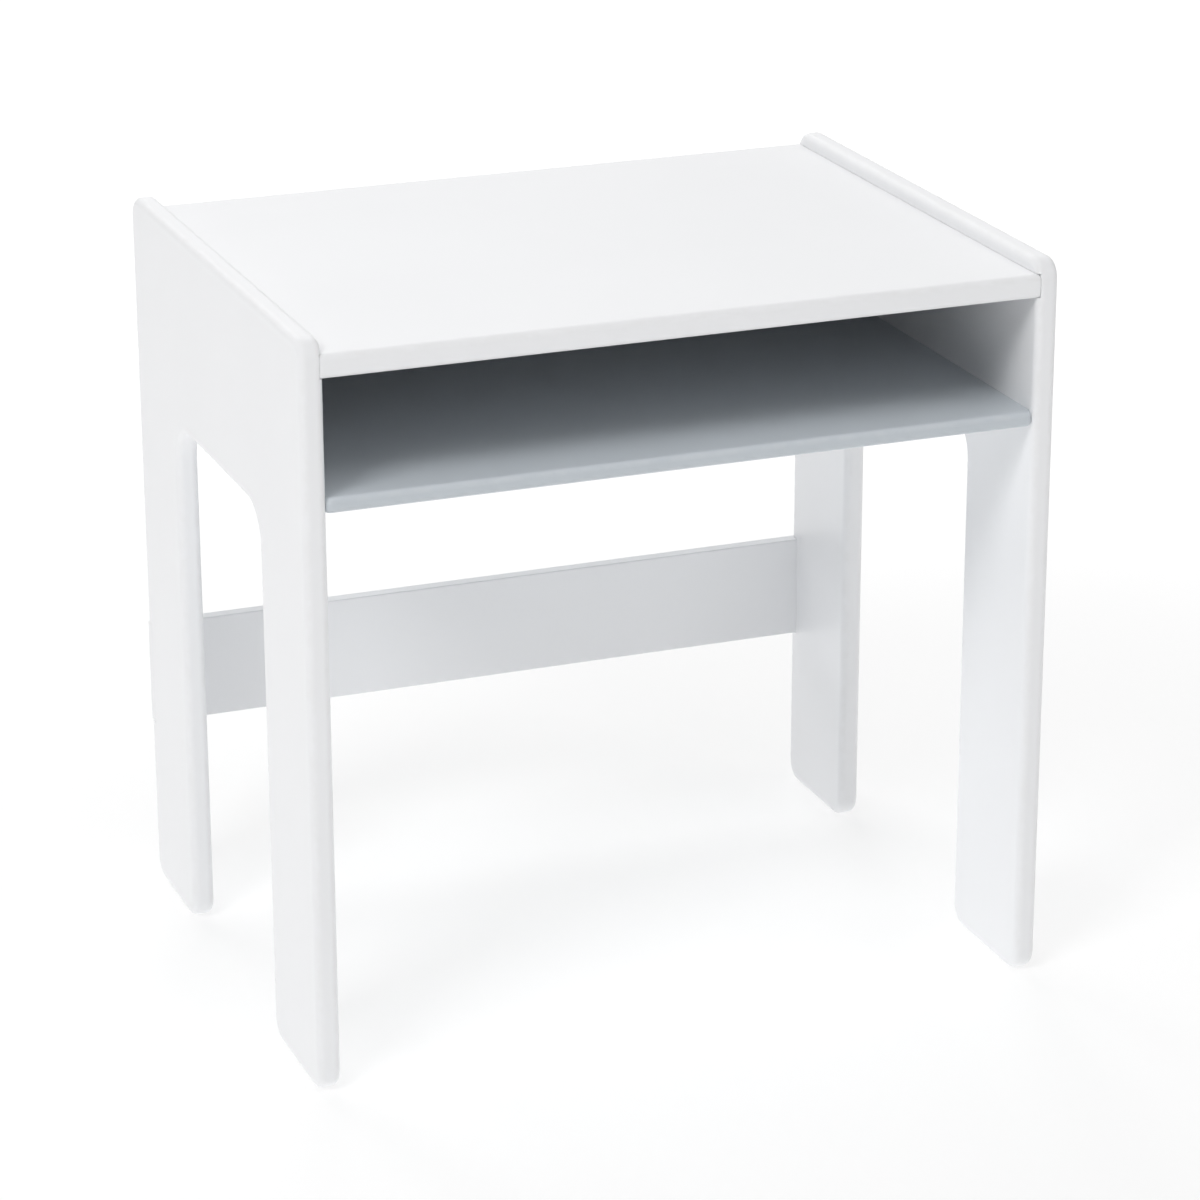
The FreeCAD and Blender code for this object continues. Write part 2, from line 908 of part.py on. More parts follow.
def make_rear_cams(document, label, fixing):
    """The back panel's cams go in from the rear, along the normal of the plane, which looks forward."""
    body = new_body(document, label)
    cam_solid(body, fixing, "XZ_Plane", back_middle_z(), -back_rear_y())
    body.AllowCompound = True
    mirror(body)
    return body


def make_fixings(document):
    thick = thick_fixing()
    thin = thin_fixing()
    pieces = [make_screws(document)]
    for board, fixing, z, underside_z, cam_ys in (
        ("worktop", thick, worktop_middle_z(), worktop_underside_z(), worktop_cam_ys()),
        ("shelf", thin, shelf_middle_z(), shelf_underside_z(), shelf_cam_ys()),
    ):
        front, rear = cam_ys
        dowels = [(y, z) for y in dowel_ys(cam_ys)]
        pieces += [
            make_dowels(document, f"{board}_dowels", fixing, dowels, "Y_Axis"),
            make_cam_bolts(document, f"{board}_cam_bolts", fixing, front, z, rear - front),
            make_underside_cams(document, f"{board}_cams", fixing, underside_z, cam_ys),
        ]
    back_dowels = [(back_middle_y(), z) for z in back_dowel_heights()]
    pieces += [
        make_dowels(document, "back_panel_dowels", thin, back_dowels, "Z_Axis"),
        make_cam_bolts(
            document, "back_panel_cam_bolts", thin, back_middle_y(), back_middle_z(), None
        ),
        make_rear_cams(document, "back_panel_cams", thin),
    ]
    return pieces


# Checks and files


def check(document, pieces):
    """Stops before any file is written if a feature failed or a piece is unsound."""
    for item in document.Objects:
        if "Invalid" in item.State or "Error" in item.State:
            raise RuntimeError(f"{item.Name} failed: {item.State}")
    for piece in pieces:
        if piece.Shape.isNull() or not piece.Shape.isValid():
            raise RuntimeError(f"{piece.Label} has no sound shape")
        box = piece.Shape.BoundBox
        print(
            f"{piece.Label}: {len(piece.Shape.Solids)} solids, {piece.Shape.Volume:.0f} mm3, "
            f"x {box.XMin:.2f} {box.XMax:.2f}, y {box.YMin:.2f} {box.YMax:.2f}, "
            f"z {box.ZMin:.2f} {box.ZMax:.2f}"
        )


def main():
    os.makedirs("parts", exist_ok=True)
    document = FreeCAD.newDocument("kids_desk")
    write_sheet(document)
    panel = make_side_panel(document)
    pieces = [
        panel,
        mirror_side_panel(document, panel),
        make_worktop(document),
        make_shelf(document),
        make_back_panel(document),
        make_stretcher(document),
    ]
    pieces += make_fixings(document)
    document.recompute()
    check(document, pieces)
    for piece in pieces:
        piece.Shape.exportStep(f"parts/{piece.Label}.step")


main()
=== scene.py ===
"""The looks of a child's desk, dressed over its packed construction.

The six boards and the cams keep the meshes of the frame and get their finishes here. The dowels,
the cam bolts and the screws are made again with their flutes, threads and recesses, each in the
place of the solid that it stands for. Everything is in metres, in the frame of the construction.
"""

import json
import logging
import math
from collections.abc import Callable, Mapping, Sequence
from dataclasses import dataclass, field
from enum import Enum
from typing import ClassVar

import bmesh
import bpy
from mathutils import Matrix, Vector

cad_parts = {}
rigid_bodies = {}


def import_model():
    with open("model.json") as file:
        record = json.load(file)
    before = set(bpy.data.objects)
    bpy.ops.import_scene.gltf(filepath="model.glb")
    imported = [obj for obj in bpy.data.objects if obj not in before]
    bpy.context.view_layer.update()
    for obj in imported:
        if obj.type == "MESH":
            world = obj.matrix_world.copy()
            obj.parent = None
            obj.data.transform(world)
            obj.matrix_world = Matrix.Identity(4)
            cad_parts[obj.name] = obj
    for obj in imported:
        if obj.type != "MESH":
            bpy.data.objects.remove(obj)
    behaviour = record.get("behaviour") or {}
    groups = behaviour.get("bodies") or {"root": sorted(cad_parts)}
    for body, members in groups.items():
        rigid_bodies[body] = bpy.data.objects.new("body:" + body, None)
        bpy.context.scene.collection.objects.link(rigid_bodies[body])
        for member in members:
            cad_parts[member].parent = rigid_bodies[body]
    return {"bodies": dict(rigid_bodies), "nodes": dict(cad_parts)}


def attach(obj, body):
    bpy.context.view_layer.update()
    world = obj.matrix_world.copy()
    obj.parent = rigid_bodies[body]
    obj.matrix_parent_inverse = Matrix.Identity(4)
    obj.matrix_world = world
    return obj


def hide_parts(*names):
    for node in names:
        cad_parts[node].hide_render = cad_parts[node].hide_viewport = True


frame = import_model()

log = logging.getLogger("kids_desk")

Colour = tuple[float, float, float]

BODY = "root"
MILLIMETRE = 0.001
FULL_TURN = 2 * math.pi
SHARP_ANGLE = math.radians(35)
NOISE_MIDDLE = 0.5
SAME_POINT_DIGITS = 7
SAME_ROW_DIGITS = 4


class Axis(Enum):
    """An axis of the desk's frame, by its place in a vector."""

    X = 0
    Y = 1
    Z = 2


class Detail(Enum):
    """How many finer layers a noise has."""

    SMOOTH = 1.0
    EVEN = 2.0
    FINE = 3.0
    ROUGH = 4.0
    TANGLED = 5.0


class Shade:
    """A shader socket that takes part in sums, each of which adds its Math node."""

    def __init__(self, tree: "Tree", socket: bpy.types.NodeSocket) -> None:
        """Keep an output socket with the tree that its sums go into."""
        self.tree = tree
        self.socket = socket

    def __add__(self, other: "Shade | float") -> "Shade":
        """Add a socket or a number."""
        return self.tree.math("ADD", self, other)

    def __radd__(self, other: float) -> "Shade":
        """Add to a number."""
        return self.tree.math("ADD", other, self)

    def __sub__(self, other: "Shade | float") -> "Shade":
        """Take a socket or a number away."""
        return self.tree.math("SUBTRACT", self, other)

    def __rsub__(self, other: float) -> "Shade":
        """Take from a number."""
        return self.tree.math("SUBTRACT", other, self)

    def __mul__(self, other: "Shade | float") -> "Shade":
        """Multiply by a socket or a number."""
        return self.tree.math("MULTIPLY", self, other)

    def __rmul__(self, other: float) -> "Shade":
        """Multiply a number."""
        return self.tree.math("MULTIPLY", other, self)

    def __abs__(self) -> "Shade":
        """Drop the sign."""
        return self.tree.math("ABSOLUTE", self)

    def halfway(self) -> "Shade":
        """Make a mask that is 1 where the value is one half, and 0 where it is 0 or 1."""
        return 4 * self * (1 - self)

    def above(self, edge: float, blur: float) -> "Shade":
        """Make a mask of the values over an edge.

        Args:
            edge: the value at which the mask is half.
            blur: the width over which the mask goes from 0 to 1.

        Returns:
            The mask, from 0 to 1.
        """
        settings = {"interpolation_type": "SMOOTHSTEP"}
        sockets = {"Value": self, "From Min": edge - blur / 2, "From Max": edge + blur / 2}
        return self.tree.shade("ShaderNodeMapRange", "Result", settings, sockets)


SocketValue = Shade | float | int | Sequence[float]


class Tree:
    """The nodes of one material or world."""

    mixed_inputs: ClassVar[tuple[int, int]] = (6, 7)
    mixed_output: ClassVar[int] = 2

    def __init__(self, owner: bpy.types.Material | bpy.types.World) -> None:
        """Empty the owner's node tree and take it.

        Args:
            owner: a material or world that gets new nodes.
        """
        owner.use_nodes = True
        self.nodes = owner.node_tree.nodes
        self.links = owner.node_tree.links
        self.nodes.clear()

    def node(
        self,
        kind: str,
        settings: Mapping[str, object] | None = None,
        sockets: Mapping[str | int, SocketValue] | None = None,
    ) -> bpy.types.Node:
        """Add a node.

        Args:
            kind: the node's type.
            settings: properties of the node, set first.
            sockets: values and links of the inputs, by name or number.

        Returns:
            The node.
        """
        made = self.nodes.new(kind)
        for name, value in (settings or {}).items():
            setattr(made, name, value)
        for name, value in (sockets or {}).items():
            if isinstance(value, Shade):
                self.links.new(value.socket, made.inputs[name])
            else:
                made.inputs[name].default_value = value
        return made

    def shade(
        self,
        kind: str,
        output: str | int,
        settings: Mapping[str, object] | None = None,
        sockets: Mapping[str | int, SocketValue] | None = None,
    ) -> Shade:
        """Add a node and take one of its outputs, by name or number, ready for sums."""
        return Shade(self, self.node(kind, settings, sockets).outputs[output])

    def math(self, operation: str, *terms: SocketValue) -> Shade:
        """Add a Math node on one or two terms and take its value."""
        sockets = dict(enumerate(terms))
        return self.shade("ShaderNodeMath", "Value", {"operation": operation}, sockets)

    def place(self) -> Shade:
        """Take the point on the surface, in metres from the desk's origin."""
        return self.shade("ShaderNodeTexCoord", "Object")

    def stretched(self, scale: Sequence[float]) -> Shade:
        """Take the point on the surface with each axis scaled.

        Args:
            scale: the factor along X, Y and Z.

        Returns:
            The scaled point.
        """
        settings = {"operation": "MULTIPLY"}
        sockets = {0: self.place(), 1: tuple(scale)}
        return self.shade("ShaderNodeVectorMath", "Vector", settings, sockets)

    def noise(
        self, size: float, detail: Detail = Detail.EVEN, where: Shade | None = None
    ) -> Shade:
        """Add noise round NOISE_MIDDLE, in swells of one size, read at where or on the surface."""
        sockets = {"Vector": where or self.place(), "Scale": 1 / size, "Detail": detail.value}
        return self.shade("ShaderNodeTexNoise", 0, None, sockets)

    def mix(self, mask: Shade, first: Shade | Colour, second: Shade | Colour) -> Shade:
        """Mix two colours.

        Args:
            mask: 0 gives the first colour and 1 the second.
            first: a colour or a link.
            second: a colour or a link.

        Returns:
            The mixed colour.
        """
        sockets: dict[str | int, SocketValue] = {"Factor": mask}
        for place, value in zip(self.mixed_inputs, (first, second)):
            sockets[place] = value if isinstance(value, Shade) else (*value, 1.0)
        return self.shade("ShaderNodeMix", self.mixed_output, {"data_type": "RGBA"}, sockets)

    def facing(self, axis: Axis) -> Shade:
        """Take how squarely the surface faces along an axis.

        Args:
            axis: the axis.

        Returns:
            1 on a face square to the axis and 0 on one along it.
        """
        normal = self.shade("ShaderNodeNewGeometry", "Normal")
        parts = self.node("ShaderNodeSeparateXYZ", None, {"Vector": normal})
        return abs(Shade(self, parts.outputs[axis.value]))

    def finish(
        self, colour: Shade, roughness: Shade, height: Shade, depth: float, **fixed: float
    ) -> None:
        """Put the surface together.

        Args:
            colour: the base colour.
            roughness: the roughness.
            height: the relief, where 1 stands proud by the depth.
            depth: the depth of the relief in metres.
            **fixed: other sockets of the surface by name, with _ for a space.
        """
        relief = {"Strength": 1.0, "Distance": depth, "Height": height}
        bump = self.shade("ShaderNodeBump", "Normal", None, relief)
        sockets = {"Base Color": colour, "Roughness": roughness, "Normal": bump}
        sockets |= {name.replace("_", " "): value for name, value in fixed.items()}
        surface = self.shade("ShaderNodeBsdfPrincipled", "BSDF", None, sockets)
        self.node("ShaderNodeOutputMaterial", None, {"Surface": surface})


@dataclass(frozen=True)
class Lacquer:
    """Satin lacquer sprayed on fibreboard.

    The spray leaves a fine peel and long soft swells. Over the routed edges the board drinks some
    of it, so they are a shade duller, show the fibre faintly and are thinnest along the arris.
    """

    name: str
    colour: Colour
    deep_colour: Colour
    thin_colour: Colour
    roughness: float
    roughness_spread: float = 0.07
    edge_roughness: float = 0.05
    peel_size: float = 2.6 * MILLIMETRE
    swell_size: float = 55 * MILLIMETRE
    drift_size: float = 210 * MILLIMETRE
    drift_blur: float = 0.4
    fibre_size: float = 0.9 * MILLIMETRE
    handling_size: float = 27.5 * MILLIMETRE
    wear_size: float = 10.4 * MILLIMETRE
    wear_blur: float = 0.35
    broad_level: float = 0.75
    broad_blur: float = 0.5
    relief: float = 0.035 * MILLIMETRE
    swell_share: float = 3.0
    fibre_share: float = 0.35
    thin_share: float = 0.55

    def material(self, face: Axis) -> bpy.types.Material:
        """Make the finish of a board.

        Args:
            face: the axis that the board's broad faces look along.

        Returns:
            The material.
        """
        made = bpy.data.materials.new(f"{self.name}_{face.name.lower()}")
        tree = Tree(made)
        peel = tree.noise(self.peel_size)
        swell = tree.noise(self.swell_size, Detail.SMOOTH)
        drift = tree.noise(self.drift_size, Detail.FINE)
        fibre = tree.noise(self.fibre_size, Detail.FINE)
        handling = tree.noise(self.handling_size, Detail.TANGLED)
        wear = tree.noise(self.wear_size, Detail.ROUGH)

        broad = tree.facing(face)
        edge = 1 - broad.above(self.broad_level, self.broad_blur)
        worn = broad.halfway() * wear.above(NOISE_MIDDLE, self.wear_blur)

        deep = drift.above(NOISE_MIDDLE, self.drift_blur)
        body = tree.mix(deep, self.colour, self.deep_colour)
        colour = tree.mix(worn * self.thin_share, body, self.thin_colour)
        roughness = (
            self.roughness
            + (handling - NOISE_MIDDLE) * self.roughness_spread
            + edge * (self.edge_roughness + (fibre - NOISE_MIDDLE) * self.edge_roughness)
        )
        height = peel + swell * self.swell_share + fibre * edge * self.fibre_share
        tree.finish(colour, roughness, height, self.relief)
        return made


@dataclass(frozen=True)
class Beech:
    """Raw turned beech: straight grain along the dowel, with short dark rays."""

    light_colour: Colour = (0.74, 0.56, 0.38)
    dark_colour: Colour = (0.60, 0.41, 0.25)
    ray_colour: Colour = (0.42, 0.25, 0.14)
    grain_size: float = 0.7 * MILLIMETRE
    ray_size: float = 0.32 * MILLIMETRE
    grain_length_share: float = 0.06
    grain_blur: float = 0.3
    ray_length_share: float = 0.2
    ray_level: float = 0.66
    ray_blur: float = 0.06
    ray_depth_share: float = 0.5
    relief: float = 0.05 * MILLIMETRE
    roughness: float = 0.62
    roughness_spread: float = 0.2

    def material(self) -> bpy.types.Material:
        """Make the finish of the dowels, whose grain runs along X.

        Returns:
            The material.
        """
        made = bpy.data.materials.new("raw_beech")
        tree = Tree(made)
        along = tree.stretched((self.grain_length_share, 1.0, 1.0))
        grain = tree.noise(self.grain_size, Detail.ROUGH, along)
        short = tree.stretched((self.ray_length_share, 1.0, 1.0))
        flecks = tree.noise(self.ray_size, Detail.SMOOTH, short)
        rays = flecks.above(self.ray_level, self.ray_blur)
        dark = grain.above(NOISE_MIDDLE, self.grain_blur)
        wood = tree.mix(dark, self.light_colour, self.dark_colour)
        colour = tree.mix(rays, wood, self.ray_colour)
        roughness = self.roughness + (grain - NOISE_MIDDLE) * self.roughness_spread
        tree.finish(colour, roughness, grain - rays * self.ray_depth_share, self.relief)
        return made


@dataclass(frozen=True)
class Metal:
    """Bare or plated metal, with fine lines where it was turned and grain where it was cast."""

    name: str
    colour: Colour
    tint: Colour
    roughness: float
    line_size: float
    relief: float
    turned_about: Axis | None = None
    line_length_share: float = 0.02
    line_spread: float = 0.16
    cloud_size: float = 3 * MILLIMETRE
    cloud_blur: float = 0.4
    cloud_spread: float = 0.12

    def material(self) -> bpy.types.Material:
        """Make the metal's finish.

        Returns:
            The material.
        """
        made = bpy.data.materials.new(self.name)
        tree = Tree(made)
        scale = [1.0, 1.0, 1.0]
        if self.turned_about is not None:
            scale = [self.line_length_share] * 3
            scale[self.turned_about.value] = 1.0
        lines = tree.noise(self.line_size, Detail.FINE, tree.stretched(scale))
        cloud = tree.noise(self.cloud_size, Detail.ROUGH)
        tinted = cloud.above(NOISE_MIDDLE, self.cloud_blur)
        colour = tree.mix(tinted, self.colour, self.tint)
        roughness = (
            self.roughness
            + (lines - NOISE_MIDDLE) * self.line_spread
            + (cloud - NOISE_MIDDLE) * self.cloud_spread
        )
        tree.finish(colour, roughness, lines, self.relief, Metallic=1.0)
        return made


WHITE_LACQUER = Lacquer(
    name="white_satin",
    colour=(0.885, 0.89, 0.903),
    deep_colour=(0.872, 0.877, 0.89),
    thin_colour=(0.845, 0.847, 0.85),
    roughness=0.33,
)
GREY_LACQUER = Lacquer(
    name="blue_grey_satin",
    colour=(0.562, 0.605, 0.643),
    deep_colour=(0.547, 0.59, 0.628),
    thin_colour=(0.607, 0.64, 0.668),
    roughness=0.31,
)
ZINC_PLATE = {
    axis: Metal(
        name=f"zinc_plate_{axis.name.lower()}",
        colour=(0.64, 0.65, 0.66),
        tint=(0.55, 0.57, 0.61),
        roughness=0.24,
        line_size=0.12 * MILLIMETRE,
        relief=0.004 * MILLIMETRE,
        turned_about=axis,
    )
    for axis in (Axis.X, Axis.Y)
}
CAST_ZINC = Metal(
    name="cast_zinc",
    colour=(0.46, 0.47, 0.49),
    tint=(0.37, 0.38, 0.4),
    roughness=0.42,
    line_size=0.35 * MILLIMETRE,
    relief=0.02 * MILLIMETRE,
)


@dataclass(frozen=True)
class Block:
    """The box of one solid of the construction."""

    low: Vector
    high: Vector

    @property
    def centre(self) -> Vector:
        """The middle of the box."""
        return (self.low + self.high) / 2

    @property
    def size(self) -> Vector:
        """The box's extent along each axis."""
        return self.high - self.low

    @property
    def side(self) -> float:
        """1 on the right of the desk's middle and -1 on its left."""
        return math.copysign(1.0, self.centre.x)


def solids_of(node: str) -> list[Block]:
    """Find the separate solids that one node of the frame holds.

    Args:
        node: the node's name.

    Returns:
        The box of each solid, from left to right, then front to rear, then upwards.
    """
    mesh = frame["nodes"][node].data
    spots: dict[tuple[float, ...], int] = {}
    at = []
    for vertex in mesh.vertices:
        spot = tuple(round(c, SAME_POINT_DIGITS) for c in vertex.co)
        at.append(spots.setdefault(spot, len(spots)))
    root = list(range(len(spots)))

    def top(index: int) -> int:
        """Follow the links to the first point of a solid.

        Args:
            index: any point of the solid.

        Returns:
            The first point.
        """
        while root[index] != index:
            root[index] = root[root[index]]
            index = root[index]
        return index

    for edge in mesh.edges:
        first, second = (top(at[v]) for v in edge.vertices)
        root[second] = first
    groups: dict[int, list[tuple[float, ...]]] = {}
    for spot, index in spots.items():
        groups.setdefault(top(index), []).append(spot)
    blocks = [
        Block(Vector(map(min, *points)), Vector(map(max, *points))) for points in groups.values()
    ]
    return sorted(blocks, key=lambda block: [round(c, SAME_ROW_DIGITS) for c in block.low])


class Turned:
    """A piece turned about its own X axis, ring after ring, from its tail to its head."""

    rings_in_pitch: ClassVar[int] = 8
    flank_steepness: ClassVar[float] = 3.0

    def __init__(self, segments: int) -> None:
        """Start with no ring, and with the number of points in each."""
        self.segments = segments
        self.rings: list[tuple[float, list[float]]] = []

    def ring(self, along: float, radius: float | Callable[[float], float]) -> None:
        """Add a ring.

        Args:
            along: its place on the axis.
            radius: one radius, or the radius at each angle.
        """
        angles = [FULL_TURN * k / self.segments for k in range(self.segments)]
        radii = [radius(angle) if callable(radius) else radius for angle in angles]
        self.rings.append((along, radii))

    def thread(self, start: float, end: float, core: float, crest: float, pitch: float) -> None:
        """Add a thread that rises from the core over half a pitch and ends the same way.

        Args:
            start: where the thread begins on the axis.
            end: where it ends.
            core: the radius between the turns.
            crest: the radius on the turns.
            pitch: the distance from turn to turn.
        """
        count = max(2, round((end - start) / pitch * self.rings_in_pitch))
        fading = self.rings_in_pitch / 2
        for k in range(count + 1):
            along = start + (end - start) * k / count
            fade = min(1.0, k / fading, (count - k) / fading)

            def radius(angle: float, along: float = along, fade: float = fade) -> float:
                """Take the radius where the helix stands.

                Args:
                    angle: the angle about the axis.
                    along: the place on the axis.
                    fade: the thread's height as a share of its full height.

                Returns:
                    The radius, highest in the middle of each turn.
                """
                phase = (along / pitch - angle / FULL_TURN) % 1.0
                rise = max(0.0, 1 - abs(phase - 0.5) * self.flank_steepness)
                return core + (crest - core) * rise * fade

            self.ring(along, radius)

    def build(self, form: bmesh.types.BMesh, placed: Matrix) -> list[list[bmesh.types.BMVert]]:
        """Build the walls between the rings and close the tail.

        Args:
            form: the mesh that takes the faces.
            placed: moves the piece to its place.

        Returns:
            The vertices of each ring. The last ring is open.
        """
        made = []
        for along, radii in self.rings:
            row = []
            for k, radius in enumerate(radii):
                angle = FULL_TURN * k / self.segments
                spot = Vector((along, radius * math.cos(angle), radius * math.sin(angle)))
                row.append(form.verts.new(placed @ spot))
            made.append(row)
        for low, high in zip(made, made[1:]):
            for k in range(self.segments):
                after = (k + 1) % self.segments
                form.faces.new((low[k], low[after], high[after], high[k]))
        form.faces.new(list(reversed(made[0])))
        return made


@dataclass(frozen=True)
class CrossRecess:
    """A cross recess that narrows towards its floor."""

    span: float
    breadth: float
    depth: float
    floor_share: float = 0.62

    def outline(self, share: float) -> list[tuple[float, float]]:
        """Give the twelve corners of the cross.

        Args:
            share: the cross's size as a share of its size at the mouth.

        Returns:
            The corners, in order.
        """
        far = self.span / 2 * share
        near = self.breadth / 2 * share
        arm = [(far, -near), (far, near), (near, near)]
        corners = []
        for quarter in range(4):
            turn = Matrix.Rotation(FULL_TURN * quarter / 4, 2)
            corners += [tuple(turn @ Vector(corner)) for corner in arm]
        return corners

    def close(
        self,
        form: bmesh.types.BMesh,
        rim: Sequence[bmesh.types.BMVert],
        along: float,
        placed: Matrix,
    ) -> None:
        """Close the head of a turned piece with a face that the cross is sunk into.

        Args:
            form: the mesh that takes the faces.
            rim: the ring round the face.
            along: the face's place on the piece's axis.
            placed: moves the piece to its place.
        """
        loops = []
        for share, sunk in ((1.0, 0.0), (self.floor_share, self.depth)):
            spots = [Vector((along - sunk, y, z)) for y, z in self.outline(share)]
            loops.append([form.verts.new(placed @ spot) for spot in spots])
        mouth, floor = loops
        for k in range(len(mouth)):
            after = (k + 1) % len(mouth)
            form.faces.new((mouth[k], floor[k], floor[after], mouth[after]))
        for bounds in ((mouth, rim), (floor,)):
            edges = []
            for loop in bounds:
                onward = [*loop[1:], loop[0]]
                edges += [form.edges.get(pair) for pair in zip(loop, onward)]
            bmesh.ops.triangle_fill(form, use_beauty=True, edges=edges)


def add_piece(name: str, form: bmesh.types.BMesh, node: str) -> bpy.types.Object:
    """Turn a finished form into a piece that stands for a node of the frame.

    Args:
        name: the piece's name.
        form: the form, which is used up.
        node: the node that the piece stands for.

    Returns:
        The piece, riding on the desk's body.
    """
    bmesh.ops.recalc_face_normals(form, faces=form.faces)
    mesh = bpy.data.meshes.new(name)
    form.to_mesh(mesh)
    form.free()
    mesh.set_sharp_from_angle(angle=SHARP_ANGLE)
    mesh.polygons.foreach_set("use_smooth", [True] * len(mesh.polygons))
    piece = bpy.data.objects.new(name, mesh)
    bpy.context.scene.collection.objects.link(piece)
    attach(piece, BODY)
    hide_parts(node)
    return piece


def dress(thing: bpy.types.Object, material: bpy.types.Material) -> None:
    """Give a piece or a node of the frame its material.

    Args:
        thing: the object.
        material: the material, which fills every slot.
    """
    if not thing.material_slots:
        thing.data.materials.append(material)
    for slot in thing.material_slots:
        slot.link = "OBJECT"
        slot.material = material


@dataclass
class Boards:
    """The six boards, which keep the meshes of the frame."""

    finishes: dict[str, tuple[Lacquer, Axis]] = field(
        default_factory=lambda: {
            "left_side_panel": (WHITE_LACQUER, Axis.X),
            "right_side_panel": (WHITE_LACQUER, Axis.X),
            "worktop": (WHITE_LACQUER, Axis.Z),
            "shelf": (GREY_LACQUER, Axis.Z),
            "back_panel": (WHITE_LACQUER, Axis.Y),
            "leg_stretcher": (WHITE_LACQUER, Axis.Y),
        }
    )

    def build(self) -> None:
        """Give each board its lacquer."""
        made: dict[tuple[str, Axis], bpy.types.Material] = {}
        for node, (lacquer, face) in self.finishes.items():
            key = (lacquer.name, face)
            if key not in made:
                made[key] = lacquer.material(face)
            dress(frame["nodes"][node], made[key])
            log.info("board %s: %s", node, made[key].name)


@dataclass
class Dowels:
    """Fluted beech dowels, one piece for each group in the frame."""

    nodes: tuple[str, ...] = ("worktop_dowels", "shelf_dowels", "back_panel_dowels")
    flutes: int = 20
    points_to_flute: int = 4
    flute_depth: float = 0.28 * MILLIMETRE
    chamfer: float = 0.9 * MILLIMETRE

    def turned(self, length: float, radius: float) -> Turned:
        """Give the rings of one dowel.

        Args:
            length: the dowel's length.
            radius: its radius over the ribs.

        Returns:
            The dowel, centred on its axis.
        """
        dowel = Turned(self.flutes * self.points_to_flute)

        def ribbed(angle: float) -> float:
            """Take the radius between the bottoms of the flutes and the ribs."""
            return radius - self.flute_depth * (1 - abs(math.sin(self.flutes * angle / 2)))

        half = length / 2
        inner = radius - self.chamfer
        dowel.ring(-half, inner)
        dowel.ring(-half + self.chamfer, ribbed)
        dowel.ring(half - self.chamfer, ribbed)
        dowel.ring(half, inner)
        return dowel

    def build(self) -> None:
        """Build and dress every group."""
        beech = Beech().material()
        for node in self.nodes:
            form = bmesh.new()
            blocks = solids_of(node)
            for block in blocks:
                dowel = self.turned(block.size.x, block.size.y / 2)
                rows = dowel.build(form, Matrix.Translation(block.centre))
                form.faces.new(rows[-1])
            piece = add_piece(f"{node}_fluted", form, node)
            dress(piece, beech)
            log.info("%s: %d fluted dowels", piece.name, len(blocks))


@dataclass
class CamBolts:
    """Turned bolts with a coarse thread for the panel and a grooved head for the cam."""

    nodes: tuple[str, ...] = ("worktop_cam_bolts", "shelf_cam_bolts", "back_panel_cam_bolts")
    segments: int = 32
    thread_length: float = 10.5 * MILLIMETRE
    thread_diameter: float = 6.0 * MILLIMETRE
    thread_depth: float = 0.75 * MILLIMETRE
    thread_pitch: float = 1.5 * MILLIMETRE
    point: float = 1.2 * MILLIMETRE
    shank_share: float = 0.74
    neck_share: float = 0.53
    head_share: float = 0.5
    shank_gap_share: float = 0.46
    rounding: float = 0.5 * MILLIMETRE
    recess: CrossRecess = CrossRecess(3.6 * MILLIMETRE, 0.9 * MILLIMETRE, 1.5 * MILLIMETRE)

    def turned(self, length: float, head_radius: float) -> Turned:
        """Give the rings of one bolt, from the point of its thread to its head.

        Args:
            length: the bolt's length.
            head_radius: the radius of its head.

        Returns:
            The bolt, with the point of the thread at 0.
        """
        bolt = Turned(self.segments)
        crest = self.thread_diameter / 2
        core = crest - self.thread_depth
        shank = head_radius * self.shank_share
        neck = head_radius * self.neck_share
        head_start = length - head_radius * 2 * self.head_share
        shank_end = head_start - head_radius * 2 * self.shank_gap_share
        bolt.ring(0, core - self.thread_depth / 2)
        bolt.thread(
            self.point / 2, self.thread_length - self.rounding, core, crest, self.thread_pitch
        )
        bolt.ring(self.thread_length - self.rounding, crest - self.rounding / 2)
        bolt.ring(self.thread_length, crest - self.rounding / 2)
        bolt.ring(self.thread_length, shank)
        bolt.ring(shank_end - self.rounding, shank)
        bolt.ring(shank_end, shank - self.rounding / 2)
        bolt.ring(shank_end, neck)
        bolt.ring(head_start, neck)
        bolt.ring(head_start, head_radius - self.rounding)
        bolt.ring(head_start + self.rounding, head_radius)
        bolt.ring(length - self.rounding, head_radius)
        bolt.ring(length, head_radius - self.rounding)
        return bolt

    def build(self) -> None:
        """Build and dress every group."""
        plate = ZINC_PLATE[Axis.X].material()
        for node in self.nodes:
            form = bmesh.new()
            blocks = solids_of(node)
            for block in blocks:
                outer = block.centre.copy()
                outer.x = block.high.x if block.side > 0 else block.low.x
                inward = Matrix.Rotation(math.pi, 4, "Z") if block.side > 0 else Matrix()
                placed = Matrix.Translation(outer) @ inward
                length = block.size.x
                rows = self.turned(length, block.size.y / 2).build(form, placed)
                self.recess.close(form, rows[-1], length, placed)
            piece = add_piece(f"{node}_threaded", form, node)
            dress(piece, plate)
            log.info("%s: %d threaded bolts", piece.name, len(blocks))


@dataclass
class Cams:
    """Die-cast cams, which keep the meshes of the frame."""

    nodes: tuple[str, ...] = ("worktop_cams", "shelf_cams", "back_panel_cams")

    def build(self) -> None:
        """Give the cams their metal."""
        cast = CAST_ZINC.material()
        for node in self.nodes:
            dress(frame["nodes"][node], cast)
            log.info("%s: %s", node, cast.name)


